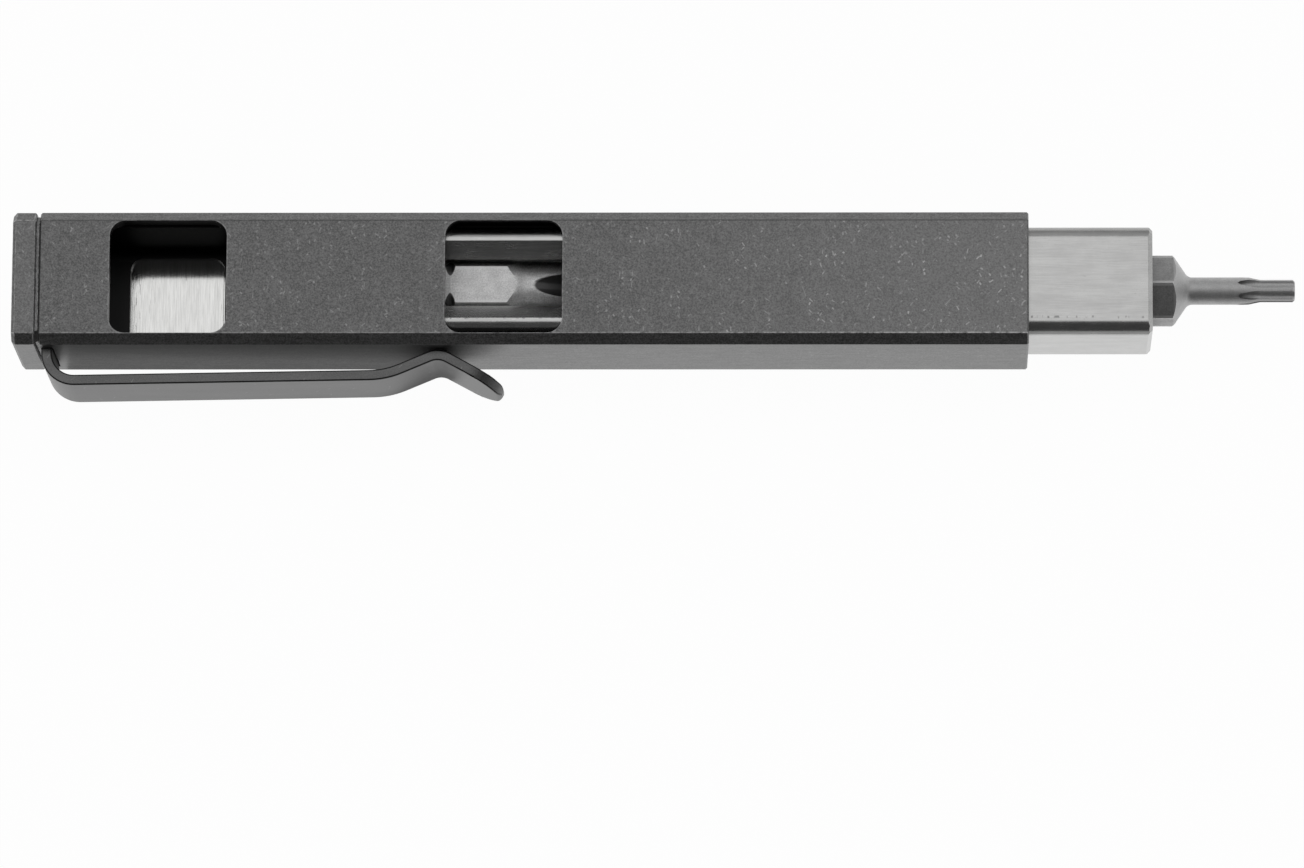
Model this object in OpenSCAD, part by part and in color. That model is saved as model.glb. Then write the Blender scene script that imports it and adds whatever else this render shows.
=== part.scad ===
// Pocket bit driver: a square tube handle with two windows, a steel bar that carries
// one bit in its nose and two more in its bore, an end cap and a spring pocket clip.
// X runs along the tool to the bit's tip, +Z is the side with the windows, and the
// clip is on the -Y side. The origin is the middle of the tube's back face.

/* [Body tube] */
// Wall of the tube
wall_t = 1.17; // [1:0.01:1.4]
// Chamfer along the four long edges
body_edge = 0.95; // [0.5:0.05:1]
// Chamfer round the ends of the tube
end_edge = 0.15; // [0.1:0.05:0.3]
// Corner radius inside the tube
bore_r = 1.2; // [0.8:0.05:1.25]

/* [Windows] */
// Window length along the tube
window_len = 11.57; // [9:0.01:13]
// Window width across the tube
window_w = 11.33; // [8:0.01:11.4]
// Corner radius of the windows
window_r = 1.55; // [0.8:0.05:2.5]
// Middle of the rear window from the tube's rear end
window_set = 12.71; // [11.5:0.01:14]
// From the middle of one window to the middle of the other
window_pitch = 33.1; // [30:0.1:36]

/* [Back plate] */
// Opening in the back wall, along the tube
back_len = 9.5; // [7:0.05:10.5]
// Opening in the back wall, across the tube
back_w = 9.35; // [7:0.05:9.6]
// Corner radius of the opening
back_r = 1.35; // [0.8:0.05:2]
// Height of the plate's middle, which stands in the opening
plate_pad = 0.3; // [0.2:0.05:0.5]
// Gap round the plate's middle
pad_gap = 0.17; // [0.1:0.01:0.3]
// Thickness of the inlaid plate
plate_t = 0.4; // [0.3:0.05:0.6]
// Ledge that the plate is bonded to
plate_ledge = 0.7; // [0.5:0.05:0.8]

/* [End cap] */
// Thickness of the cap
cap_t = 2.7; // [2.4:0.05:4]
// Chamfer round the outer end of the cap
cap_edge = 0.35; // [0.1:0.05:0.5]
// Depth and length of the groove between cap and tube
seam_step = 0.35; // [0.2:0.05:0.5]
// Length of the threaded plug that the cap is screwed to
plug_len = 4.4; // [4:0.1:5]
// Thread of the cap screw
cap_screw_d = 3; // [2.5:0.5:3]
// Head of the cap screw
cap_head_d = 5.6; // [5.2:0.1:6.5]
// Dowel that keeps cap and clip in line
dowel_d = 1.5; // [1:0.1:1.6]

/* [Pocket clip] */
// Thickness of the spring strip
clip_t = 1.05; // [0.8:0.05:1.3]
// Width of the strip
clip_w = 8.2; // [6:0.1:8.6]
// Inner radius of the bend at the rear
clip_bend_r = 2.2; // [1.2:0.1:2.4]
// Gap to the tube just after the bend
clip_gap = 2.7; // [2.4:0.05:3.4]
// Slope of the long arm towards the tube, in degrees
clip_slope = 0.95; // [0.5:0.05:1.5]
// Slope of the ramp up to the crest, in degrees
clip_ramp = 23; // [20:0.5:28]
// Radius of the bend before the ramp, at the middle of the strip
clip_ramp_r = 8; // [3:0.5:9]
// Slope of the toe away from the tube, in degrees
clip_toe = 28.5; // [24:0.5:36]
// Crest of the clip from the tube's rear end
crest_set = 39.2; // [34:0.05:42]
// Gap between crest and tube
crest_gap = 0.2; // [0.2:0.05:0.6]
// Length of the toe past the crest
toe_len = 6.1; // [4:0.1:7.5]

/* [Inner bar] */
// Steel left round the bar's bore, on the flats
bar_wall = 1.7; // [1.5:0.05:2.2]
// Solid stretch of the bar between its bore and its socket
bar_core = 12.9; // [8:0.1:24]
// How far the bar stands out of the tube
bar_out = 12.2; // [11:0.1:14]
// Edge radius of the bar
bar_r = 1.3; // [1.2:0.05:1.6]
// Play of a spare bit's corners in the bar's bore
store_clear = 0.08; // [0.05:0.01:0.2]
// How far the rear spare bit lies inside the bar
store_set = 1.2; // [0.5:0.1:2]
// Width of the slot into that bore
slot_w = 4.7; // [4:0.1:5.4]
// Width and depth of the slot's 45 degree flare
slot_flare = 1.55; // [1:0.05:1.6]
// Slot's rear end from the bar's rear end
slot_set = 5.8; // [4:0.1:8]
// Length of the slot
slot_len = 42; // [38:0.5:44]

/* [Stop block] */
// From the rear window to the block
stop_set = 5.9; // [4:0.1:8]
// Length of the block that the bar rests against
stop_len = 5; // [4.8:0.1:6]
// Hole through the block, wide enough for a bit
stop_bore_d = 8.2; // [7.8:0.1:8.4]
// Diameter of the small magnets in the block
stop_magnet_d = 2; // [1.5:0.1:2]
// Length of the small magnets
stop_magnet_t = 2; // [1:0.1:2.4]
// Thread of the small screws through the back wall
small_screw_d = 1.6; // [1.4:0.1:1.6]
// Head of the small screws
small_head_d = 2.9; // [2.6:0.1:3]
// Length of the small screws
small_screw_len = 3.2; // [2.6:0.1:3.4]

/* [Bits] */
// Width across the flats of a bit
bit_af = 6.35; // [6.3:0.01:6.35]
// Length of a bit
bit_len = 25; // [24:0.5:26]
// Depth of the hex socket in the bar's nose
socket_depth = 10.85; // [10:0.05:12]
// Hexagon length of the nose bit
star_hex_len = 12.9; // [12.5:0.05:14]
// Shaft of the nose bit
star_shaft_d = 2.7; // [2.5:0.05:3]
// Tip of the nose bit across its six lobes
star_tip_d = 2.25; // [2.1:0.05:2.4]
// Hexagon length of the spare bits
spare_hex_len = 15.4; // [14:0.1:16]
// Diameter behind the cross tip
cross_shaft_d = 5.8; // [5.4:0.1:6]
// Blade width of the flat tip
blade_w = 5.5; // [4:0.1:5.8]
// Blade thickness of the flat tip
blade_t = 0.8; // [0.6:0.05:1.2]

/* [Hidden] */
$fn = 64;
// Overrun of every cut
over = 1;
// Play round the bar and the plug
slide_clear = 0.05;
// Play of screws, magnets and dowel in their holes
fit_clear = 0.04;
// Play of the clip's root, so that it can flex
clip_clear = 0.12;
// Play at the ends of the spare bits
end_clear = 0.1;

bit_r = bit_af / sqrt(3);
store_d = 2 * (bit_r + store_clear);
bar_w = store_d + 2 * bar_wall;
bore_w = bar_w + 2 * slide_clear;
body_w = bore_w + 2 * wall_t;
axis_z = body_w / 2;

socket_af = bit_af + 2 * slide_clear;
socket_magnet_d = bit_af - 2 * slide_clear;
socket_magnet_t = socket_magnet_d / 2;
storage_magnet_t = store_d / 4;
storage_len = store_set + 2 * bit_len + 3 * end_clear + storage_magnet_t;
bar_len = storage_len + bar_core + socket_magnet_t + socket_depth;
body_len = window_set + window_len / 2 + stop_set + stop_len + bar_len - bar_out;

rear_x = -body_len / 2;
nose_x = body_len / 2;
window_x = rear_x + window_set;

plate_len = back_len + 2 * plate_ledge;
plate_w = back_w + 2 * plate_ledge;
plate_sink = plate_t / 8;

bar_nose_x = nose_x + bar_out;
bar_rear_x = bar_nose_x - bar_len;
bar_edge = bar_r / 3;
socket_x = bar_nose_x - socket_depth;
cross_x = bar_rear_x + store_set;
flat_x = cross_x + bit_len + 2 * end_clear;
storage_magnet_x = bar_rear_x + storage_len - storage_magnet_t;

notch_w = clip_t + 2 * clip_clear;
leg_x = rear_x + notch_w / 2;
plug_x = rear_x + notch_w;
dowel_y = -(bore_w / 2 - 0.8 * dowel_d);
tab_y = dowel_y + 1.1 * dowel_d;
dowel_bite = dowel_d;

small_screw_y = axis_z - body_edge - small_head_d / 2 - clip_clear;
stop_x = bar_rear_x - stop_len;
stop_screw_x = stop_x + small_head_d / 2;
stop_magnet_at = bar_w / 2 - bar_r;

// Turns a shape that is made along Z so that it lies along X on the tool's axis
module on_axis(x = 0) {
    translate([x, 0, axis_z]) rotate([0, 90, 0]) children();
}

module rounded_rect(length, width, r) {
    square([length - 2 * r, width], center = true);
    square([length, width - 2 * r], center = true);
    for (i = [-1, 1], j = [-1, 1])
        translate([i * (length / 2 - r), j * (width / 2 - r)]) circle(r);
}

// Outline of a bar seen from one side, with its rear and front ends chamfered
module chamfered_side(length, width, rear, front) {
    polygon([
        [0, width / 2 - rear], [rear, width / 2],
        [length - front, width / 2], [length, width / 2 - front],
        [length, -width / 2 + front], [length - front, -width / 2],
        [rear, -width / 2], [0, -width / 2 + rear],
    ]);
}

// Square bar along X from x = 0, with chamfers along its edges and round its ends
module chamfered_bar(length, width, edge, rear, front) {
    slant_w = (width - edge) * sqrt(2);
    intersection_for (side = [[0, width], [90, width], [45, slant_w], [135, slant_w]])
        rotate([side[0], 0, 0])
            translate([0, 0, -width])
                linear_extrude(2 * width) chamfered_side(length, side[1], rear, front);
}

// Square bar along X with round edges and chamfered ends
module rounded_bar(length, width, r, end) {
    intersection() {
        rotate([0, 90, 0]) linear_extrude(length) rounded_rect(width, width, r);
        chamfered_bar(length, width, r / 2, end, end);
    }
}

// Countersunk screw along +Z with its head's face at z = 0
module screw_body(d, head_d, length, play = 0) {
    cylinder(d1 = head_d + 2 * play, d2 = d + 2 * play, h = (head_d - d) / 2);
    cylinder(d = d + 2 * play, h = length);
}

module screw(d, head_d, length, sunk) {
    translate([0, 0, sunk])
        difference() {
            screw_body(d, head_d, length);
            translate([0, 0, -over]) cylinder(d = d * 0.8, h = over + d * 0.4, $fn = 6);
        }
}

// Seat of such a screw, open above its head
module screw_cut(d, head_d, length, sunk) {
    translate([0, 0, sunk]) screw_body(d, head_d, length + over, fit_clear);
    translate([0, 0, -over])
        cylinder(d = head_d + 2 * fit_clear, h = over + sunk + fit_clear);
}

module small_screw_places(x) {
    for (side = [-1, 1]) translate([x, side * small_screw_y, 0]) children();
}

small_sunk = plate_sink;
cap_sunk = wall_t / 4;
cap_screw_len = cap_t + notch_w + plug_len - cap_sunk - cap_edge;
plug_mid_x = plug_x + plug_len / 2;

// The square tube, cut open at the windows, the back opening and the clip's root
module body_tube() {
    color([0.37, 0.37, 0.38])
    difference() {
        translate([rear_x, 0, axis_z])
            chamfered_bar(body_len, body_w, body_edge, end_edge, end_edge);
        on_axis(rear_x - over)
            linear_extrude(body_len + 2 * over) rounded_rect(bore_w, bore_w, bore_r);
        for (x = [window_x, window_x + window_pitch])
            translate([x, 0, body_w - wall_t - bore_r])
                linear_extrude(wall_t + bore_r + over)
                    rounded_rect(window_len, window_w, window_r);
        translate([window_x, 0, -over])
            linear_extrude(wall_t + 2 * over) rounded_rect(back_len, back_w, back_r);
        translate([window_x, 0, -over])
            linear_extrude(over + plate_t + plate_sink)
                rounded_rect(plate_len, plate_w, back_r);
        translate([rear_x - over, -body_w, axis_z - clip_w / 2 - clip_clear])
            cube([over + notch_w, body_w - bore_w / 2 + bore_r, clip_w + 2 * clip_clear]);
        for (x = [plug_mid_x, stop_screw_x])
            small_screw_places(x)
                screw_cut(small_screw_d, small_head_d, wall_t, small_sunk);
    }
}

// Cap with a countersunk hole in its end and a blind hole for the dowel
module end_cap() {
    color([0.38, 0.38, 0.39])
    difference() {
        translate([rear_x - cap_t, 0, axis_z]) {
            chamfered_bar(cap_t - seam_step, body_w, body_edge, cap_edge, end_edge);
            chamfered_bar(cap_t, body_w - 2 * seam_step, body_edge, cap_edge, seam_step / 4);
        }
        on_axis(rear_x - cap_t)
            screw_cut(cap_screw_d, cap_head_d, cap_t, cap_sunk);
        translate([0, dowel_y, 0]) on_axis(rear_x - dowel_bite)
            cylinder(d = dowel_d + 2 * fit_clear, h = dowel_bite + over);
    }
}

module cap_screw() {
    color([0.25, 0.25, 0.26])
        on_axis(rear_x - cap_t)
            screw(cap_screw_d, cap_head_d, cap_screw_len, cap_sunk);
}

module cap_dowel() {
    color([0.6, 0.6, 0.6])
        translate([0, dowel_y, 0]) on_axis(rear_x - dowel_bite)
            cylinder(d = dowel_d, h = 2 * dowel_bite + notch_w);
}

// Threaded block inside the tube that the cap is screwed to
module end_plug() {
    color([0.5, 0.5, 0.52])
    difference() {
        on_axis(plug_x) linear_extrude(plug_len) rounded_rect(bar_w, bar_w, bar_r);
        on_axis(plug_x - over)
            cylinder(d = cap_screw_d + 2 * fit_clear, h = plug_len + 2 * over);
        translate([0, dowel_y, 0]) on_axis(plug_x - over)
            cylinder(d = dowel_d + 2 * fit_clear, h = over + dowel_bite + fit_clear);
        small_screw_places(plug_mid_x)
            cylinder(d = small_screw_d + 2 * fit_clear, h = small_sunk + small_screw_len + fit_clear);
    }
}

module small_screws(x) {
    color([0.25, 0.25, 0.26])
        small_screw_places(x)
            screw(small_screw_d, small_head_d, small_screw_len, small_sunk);
}

module plug_screws() {
    small_screws(plug_mid_x);
}

module stop_screws() {
    small_screws(stop_screw_x);
}

// Course of the clip's strip, worked out so that the crest lands on its place
bend_mid_r = clip_bend_r + clip_t / 2;
crest_mid_r = 2 * clip_t;
arm_y = -(axis_z + clip_gap + clip_t / 2);
crest_y = -(axis_z + crest_gap + clip_t / 2);
leg_len = tab_y - arm_y - bend_mid_r * (1 + sin(clip_slope));
bend_end_x = leg_x + bend_mid_r * cos(clip_slope);
bend_end_y = arm_y - bend_mid_r * (1 - cos(clip_slope));
rise = crest_y - bend_end_y - clip_ramp_r * (cos(clip_slope) - cos(clip_ramp))
    - crest_mid_r * (1 - cos(clip_ramp));
run = rear_x + crest_set - bend_end_x - clip_ramp_r * (sin(clip_ramp) - sin(clip_slope))
    - crest_mid_r * sin(clip_ramp);
arm_len = (run - rise / tan(clip_ramp)) / (cos(clip_slope) - sin(clip_slope) / tan(clip_ramp));
ramp_len = (rise - arm_len * sin(clip_slope)) / sin(clip_ramp);
toe_corner_r = clip_w * 0.48;
toe_facet = 22.5;

// Straight stretches, and between them the bends: the middle radius, which is below
// zero where the strip turns right, and the heading before and after
strip_lens = [leg_len, arm_len, ramp_len, toe_len];
strip_bends = [
    [bend_mid_r, -90, clip_slope],
    [clip_ramp_r, clip_slope, clip_ramp],
    [-crest_mid_r, clip_ramp, -clip_toe],
];
bend_facet = 4;

function ahead(heading) = [cos(heading), sin(heading)];
function left(heading) = [-sin(heading), cos(heading)];
function bend_centre(k) =
    bend_start(k) + strip_bends[k][0] * left(strip_bends[k][1]);
function bend_end(k) =
    k < 0 ? [leg_x, tab_y] : bend_centre(k) - strip_bends[k][0] * left(strip_bends[k][2]);
function bend_start(k) = bend_end(k - 1) + strip_lens[k] * ahead(strip_bends[k][1]);

// Points along one side of the strip, at a distance to the left of its middle line
function strip_side(offset) = concat(
    [[leg_x, tab_y] + offset * left(strip_bends[0][1])],
    [for (k = [0 : len(strip_bends) - 1])
        let (b = strip_bends[k], n = ceil(abs(b[2] - b[1]) / bend_facet))
            for (i = [0 : n])
                bend_centre(k) + (offset - b[0]) * left(b[1] + (b[2] - b[1]) * i / n)],
    [bend_end(2) + (toe_len - clip_t / 2) * ahead(-clip_toe) + offset * left(-clip_toe)]);

// Points round the end of the toe, between its two sides
toe_round = [for (turn = [90 - toe_facet : -toe_facet : toe_facet - 90])
    bend_end(2) + (toe_len - clip_t / 2) * ahead(-clip_toe) + clip_t / 2 * ahead(turn - clip_toe)];

module strip() {
    other_side = strip_side(-clip_t / 2);
    polygon(concat(strip_side(clip_t / 2), toe_round,
        [for (i = [len(other_side) - 1 : -1 : 0]) other_side[i]]));
}

// What the round toe leaves of the strip's two corners
module toe_corners() {
    translate([bend_end(2)[0], bend_end(2)[1], axis_z]) rotate([90, 0, -clip_toe])
        translate([0, 0, -clip_t])
            linear_extrude(2 * clip_t)
                difference() {
                    translate([toe_len - toe_corner_r, -clip_w]) square([2 * toe_corner_r, 2 * clip_w]);
                    rounded_rect(2 * toe_len, clip_w, toe_corner_r);
                }
}

// Spring strip with a tab under the cap, a bend, a long arm, a crest and a round toe
module pocket_clip() {
    color([0.42, 0.42, 0.43])
    difference() {
        translate([0, 0, axis_z - clip_w / 2]) linear_extrude(clip_w) strip();
        toe_corners();
        translate([0, dowel_y, 0]) on_axis(rear_x)
            cylinder(d = dowel_d + 2 * clip_clear, h = notch_w + over);
    }
}

// Block inside the tube that takes the push of the bar
module stop_block() {
    color([0.5, 0.5, 0.52])
    difference() {
        on_axis(stop_x) linear_extrude(stop_len) rounded_rect(bar_w, bar_w, bar_r);
        on_axis(stop_x - over) cylinder(d = stop_bore_d, h = stop_len + 2 * over);
        stop_magnet_places()
            cylinder(d = stop_magnet_d + 2 * fit_clear, h = stop_magnet_t + over);
        small_screw_places(stop_screw_x)
            cylinder(d = small_screw_d + 2 * fit_clear, h = small_sunk + small_screw_len + fit_clear);
    }
}

module stop_magnet_places() {
    for (i = [-1, 1], j = [-1, 1])
        translate([0, i * stop_magnet_at, j * stop_magnet_at])
            on_axis(bar_rear_x - stop_magnet_t) children();
}

module stop_magnets() {
    color([0.75, 0.75, 0.76])
        stop_magnet_places() cylinder(d = stop_magnet_d, h = stop_magnet_t);
}

// Brushed plate bonded into the back of the tube under the rear window
module window_backplate() {
    color([0.8, 0.8, 0.8])
        translate([window_x, 0, plate_sink]) {
            linear_extrude(plate_t)
                rounded_rect(plate_len - 2 * fit_clear, plate_w - 2 * fit_clear,
                    back_r - fit_clear);
            linear_extrude(plate_t + plate_pad)
                rounded_rect(back_len - 2 * pad_gap, back_w - 2 * pad_gap, back_r - pad_gap);
        }
}

// Slot from above into the bore, with sloping sides
module slot_cut() {
    half = slot_len / 2 - slot_w / 2 - slot_flare;
    top = bar_w / 2;
    translate([bar_rear_x + slot_set + slot_len / 2, 0, axis_z]) {
        linear_extrude(top) square([2 * half, slot_w], center = true);
        translate([0, 0, top - slot_flare])
            rotate([90, 0, 90])
                translate([0, 0, -half])
                    linear_extrude(2 * half)
                        polygon([
                            [-slot_w / 2, 0], [slot_w / 2, 0],
                            [slot_w / 2 + slot_flare + over, slot_flare + over],
                            [-slot_w / 2 - slot_flare - over, slot_flare + over],
                        ]);
        for (i = [-1, 1]) translate([i * half, 0, 0]) {
            cylinder(d = slot_w, h = top);
            translate([0, 0, top - slot_flare])
                cylinder(r1 = slot_w / 2, r2 = slot_w / 2 + slot_flare + over,
                    h = slot_flare + over);
        }
    }
}

// Steel bar that slides in the tube: hex socket in the nose, bore for spare bits behind
module inner_bar() {
    color([0.74, 0.74, 0.75])
    difference() {
        translate([bar_rear_x, 0, axis_z]) rounded_bar(bar_len, bar_w, bar_r, bar_edge);
        on_axis(socket_x)
            cylinder(r = socket_af / sqrt(3), h = socket_depth + over, $fn = 6);
        on_axis(socket_x - socket_magnet_t)
            cylinder(d = socket_magnet_d + 2 * fit_clear, h = socket_magnet_t + over);
        on_axis(bar_nose_x - slot_flare / 3)
            cylinder(d1 = socket_af, d2 = socket_af + 2 * (slot_flare / 3 + over),
                h = slot_flare / 3 + over);
        on_axis(bar_rear_x - over)
            cylinder(d = store_d,
                h = over + storage_magnet_x + storage_magnet_t - bar_rear_x);
        slot_cut();
    }
}

module socket_magnet() {
    color([0.75, 0.75, 0.76])
        on_axis(socket_x - socket_magnet_t)
            cylinder(d = socket_magnet_d, h = socket_magnet_t);
}

module storage_magnet() {
    color([0.75, 0.75, 0.76])
        on_axis(storage_magnet_x)
            cylinder(d = store_d - 2 * fit_clear, h = storage_magnet_t);
}

// Ring notch that a spring catch can hold: its depth under the hexagon's corners, and the
// radius of its round bottom
notch_deep = bit_r * 0.088;
notch_r = notch_deep * 1.5;
notch_at = bit_len * 0.392;
bit_rear_chamfer = bit_af * 0.07;

// Hexagon along Z cut to a turned outline, given as points of height and radius
// from the end of the hexagon on
module turned_bit(tail) {
    notch_mid = bit_r - notch_deep + notch_r;
    intersection() {
        cylinder(r = bit_r, h = bit_len, $fn = 6);
        rotate_extrude()
            polygon(concat(
                [[0, 0], [bit_r - 2 * bit_rear_chamfer, 0], [bit_r, 2 * bit_rear_chamfer]],
                [for (a = [-75 : 30 : 75]) [notch_mid - notch_r * cos(a), notch_at + notch_r * sin(a)]],
                [for (p = tail) [p[1], p[0]]],
                [[0, bit_len]]));
    }
}

// Nose bit: a thin shaft with a six-lobed tip
star_r = star_shaft_d / 2;
star_tip_r = star_tip_d / 2;
star_cone_slope = 56;
star_fillet_r = 0.6 * star_r;
star_fillet_x = star_hex_len + star_fillet_r * sin(star_cone_slope)
    + (bit_r - star_r - star_fillet_r * (1 - cos(star_cone_slope))) / tan(star_cone_slope);
star_lobe_len = 3 * star_tip_r;
star_taper_len = star_tip_r;
star_groove_r = 0.4 * star_tip_r;
star_groove_at = 1.12 * star_tip_r;
star_exit_len = 3 * star_tip_r;
star_turn = 34;
star_exit_slope = atan((star_r + star_groove_r - star_groove_at) / star_exit_len);

module star_bit() {
    tip_chamfer = star_tip_r / 6;
    straight_x = bit_len - star_lobe_len;
    color([0.55, 0.55, 0.56])
    on_axis(socket_x)
        difference() {
            turned_bit(concat(
                [[star_hex_len, bit_r]],
                [for (a = [star_cone_slope : -8 : 0])
                    [star_fillet_x - star_fillet_r * sin(a), star_r + star_fillet_r * (1 - cos(a))]],
                [[straight_x - star_taper_len, star_r],
                    [straight_x, star_tip_r],
                    [bit_len - tip_chamfer, star_tip_r],
                    [bit_len, star_tip_r - tip_chamfer]]));
            for (k = [0 : 5]) rotate(k * 60 + star_turn)
                translate([star_groove_at, 0, straight_x]) {
                    cylinder(r = star_groove_r, h = star_lobe_len + over, $fn = 12);
                    rotate([0, 180 + star_exit_slope, 0])
                        cylinder(r = star_groove_r, h = 2 * star_exit_len, $fn = 12);
                }
        }
}

// Rear spare bit: a cross tip with four flutes that run out on its shaft
cross_r = cross_shaft_d / 2;
cross_end_r = cross_r * 0.3;
cross_core_r = cross_r * 0.14;
cross_cone_len = (bit_r - cross_r) / tan(23.5);
cross_point_len = (cross_r - cross_end_r) / tan(26.5);
flute_x = spare_hex_len + cross_shaft_d * 0.47;
flute_slope = atan((cross_r - cross_core_r) / (bit_len - flute_x));
flute_r = cross_r * 0.44;

// Section of a flute: a round bottom that opens into straight sides
module flute_section() {
    reach = cross_shaft_d;
    opening = 46;
    circle(flute_r, $fn = 32);
    polygon([
        [flute_r * sin(opening), -flute_r * cos(opening)],
        [flute_r * sin(opening), flute_r * cos(opening)],
        [reach, flute_r + reach * tan(opening)],
        [reach, -flute_r - reach * tan(opening)],
    ]);
}

module cross_bit() {
    color([0.62, 0.62, 0.62])
    on_axis(cross_x)
        rotate(30)
            difference() {
                turned_bit([
                    [spare_hex_len, bit_r],
                    [spare_hex_len + cross_cone_len * 0.17, bit_r - (bit_r - cross_r) * 0.26],
                    [spare_hex_len + cross_cone_len * 0.37, bit_r - (bit_r - cross_r) * 0.49],
                    [spare_hex_len + cross_cone_len * 0.65, bit_r - (bit_r - cross_r) * 0.73],
                    [spare_hex_len + cross_cone_len, cross_r],
                    [bit_len - cross_point_len, cross_r],
                    [bit_len, cross_end_r],
                ]);
                for (k = [0 : 3]) rotate(k * 90 + 60)
                    translate([cross_r + flute_r, 0, flute_x])
                        rotate([0, -flute_slope, 0])
                            linear_extrude(bit_len) flute_section();
            }
}

// Front spare bit: a flat blade
module flat_bit() {
    neck_r = blade_w / 2;
    blade_len = blade_w * 1.4;
    slope_run = bit_len - spare_hex_len - (bit_r - neck_r);
    color([0.62, 0.62, 0.62])
    on_axis(flat_x)
        rotate(30)
            intersection() {
                turned_bit([
                    [spare_hex_len, bit_r],
                    [spare_hex_len + bit_r - neck_r, neck_r],
                    [bit_len, neck_r],
                ]);
                rotate([90, 0, 0])
                    translate([0, 0, -body_w])
                        linear_extrude(2 * body_w)
                            polygon([
                                [-bit_r, 0], [bit_r, 0],
                                [bit_r, bit_len - slope_run],
                                [neck_r, bit_len - blade_len],
                                [blade_t / 2, bit_len - blade_t],
                                [blade_t / 2, bit_len],
                                [-blade_t / 2, bit_len],
                                [-blade_t / 2, bit_len - blade_t],
                                [-neck_r, bit_len - blade_len],
                                [-bit_r, bit_len - slope_run],
                            ]);
            }
}

body_tube();
end_cap();
cap_screw();
cap_dowel();
end_plug();
plug_screws();
pocket_clip();
stop_block();
stop_magnets();
stop_screws();
window_backplate();
inner_bar();
socket_magnet();
storage_magnet();
star_bit();
cross_bit();
flat_bit();
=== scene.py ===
"""Finishes, studio and camera for the pocket screwdriver.

Lengths inside the shaders are millimetres along the tool's own axes: X to the bit's tip,
+Z to the side with the windows and -Y to the pocket clip.
"""

import math

import bpy
from mathutils import Matrix, Vector


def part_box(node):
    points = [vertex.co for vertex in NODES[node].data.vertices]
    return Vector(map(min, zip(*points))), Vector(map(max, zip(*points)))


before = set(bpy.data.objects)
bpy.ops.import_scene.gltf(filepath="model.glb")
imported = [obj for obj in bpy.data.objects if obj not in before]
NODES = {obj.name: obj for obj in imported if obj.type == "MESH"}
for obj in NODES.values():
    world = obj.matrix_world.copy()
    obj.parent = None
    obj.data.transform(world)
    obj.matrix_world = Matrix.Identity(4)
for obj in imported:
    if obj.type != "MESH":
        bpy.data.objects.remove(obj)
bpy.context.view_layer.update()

bl_info = {
    "name": "Pocket Screwdriver",
    "version": (1, 0, 0),
    "blender": (4, 5, 0),
    "location": "3D View > Sidebar > Screwdriver",
    "description": "Metal finishes and a small studio for a square pocket screwdriver",
    "category": "3D View",
}

MM = 0.001
TUBE_LOW, TUBE_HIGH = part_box("body_tube")
BAR_LOW, BAR_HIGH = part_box("inner_bar")

WHITE = (1.0, 1.0, 1.0, 1.0)
BRIGHT = (0.9, 0.9, 0.9, 1.0)
BLACK = (0.0, 0.0, 0.0, 1.0)
# Painted shade: what is left of a metal's colour inside the tube and in the notches and flutes
HOLLOW_SHADE = 0.16

# Places and sizes on the tool, in millimetres
TUBE_REAR, TUBE_NOSE = TUBE_LOW.x / MM, TUBE_HIGH.x / MM
TUBE_FACE = TUBE_HIGH.z / MM
AXIS_HEIGHT = (TUBE_LOW.z + TUBE_HIGH.z) / 2 / MM
BORE_HALF = (BAR_HIGH.y - BAR_LOW.y) / 2 / MM
BORE_ROOF = AXIS_HEIGHT + BORE_HALF
# Along the tube: where the wear begins and where it is full, and the length of the worn nose
WEAR_ALONG = (-5.0, TUBE_NOSE + 6.0)
WORN_NOSE = 30.0
# Fades are distances over which one finish gives way to another: on both sides of the seam
# between tube and cap, outside the bore's walls, above the back face and under the front face
SEAM_FADE = (0.1, 0.3)
BORE_FADE = (0.5, 0.3)
BACK_FADE = (0.3, 0.5)
FACE_FADE = (0.1, 0.05)
# Fades of the lines from the face's long edges, rubbed on the -Y side and painted shade on the
# +Y side, and of the rubbed lines from the windows
LINE_FADE = (0.13, 0.05)
WINDOW_FADE = (0.16, 0.04)
# Half the width of the windowed face between its chamfers
FACE_HALF = 5.69
# The two windows: half length and half width, corner radius, distance and middle between them
WINDOW_HALF = (5.785, 5.665)
WINDOW_CORNER = 1.55
WINDOW_PITCH = 33.1
WINDOWS_MIDDLE = TUBE_REAR + 12.71 + WINDOW_PITCH / 2
# Row of pits on the bar: distance from its edge over the clip, and half its width
PIT_ROW_SET = 1.75
PIT_ROW_HALF = 0.17
# Heights over which painted light brightens the side of the bar's slot, and of the bore under it
SLOT_FADE = (7.0, 8.0)
# Bits: radius from which the hexagon's corners get a painted highlight, and the nose bit's hexagon
# length
HEX_CORNER = 3.5
NOSE_HEX = 12.9
# Ring notch of the bits: distance from the rear end, and middle and radius of its round bottom
NOTCH_SET = 9.8
NOTCH_MIDDLE = 3.83
NOTCH_RADIUS = 0.484
# Flutes of the cross bit: outer radius, start from the rear end and stop before the tip
FLUTE_EDGE = 2.88
FLUTE_SET = 17.5
FLUTE_STOP = 4.1
# Fades on the bits: along them, at the hexagon's corners, round the notch and in the flutes
BIT_FADE = 0.2
CORNER_FADE = 0.06
NOTCH_FADE = (0.06, 0.03)
FLUTE_FADE = 0.12

# Bevels, in millimetres: on the bar and the plate, on small pieces and on the spare bits
PLAIN_EDGE = 0.08
SMALL_EDGE = 0.05
FINE_EDGE = 0.04
# Facets that are closer than this are joined, and steeper edges than this get a bevel
WELD_GAP = 0.002 * MM
EDGE_ANGLE = math.radians(30)

# Studio, in metres. The floor lies just under the tool.
FLOOR_Z = -0.02 * MM
FLOOR_SIZE = (6.0, 6.0)
FLOOR_SHADES = ((0.88, 0.88, 0.88, 1.0), (0.9, 0.9, 0.9, 1.0))
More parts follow.
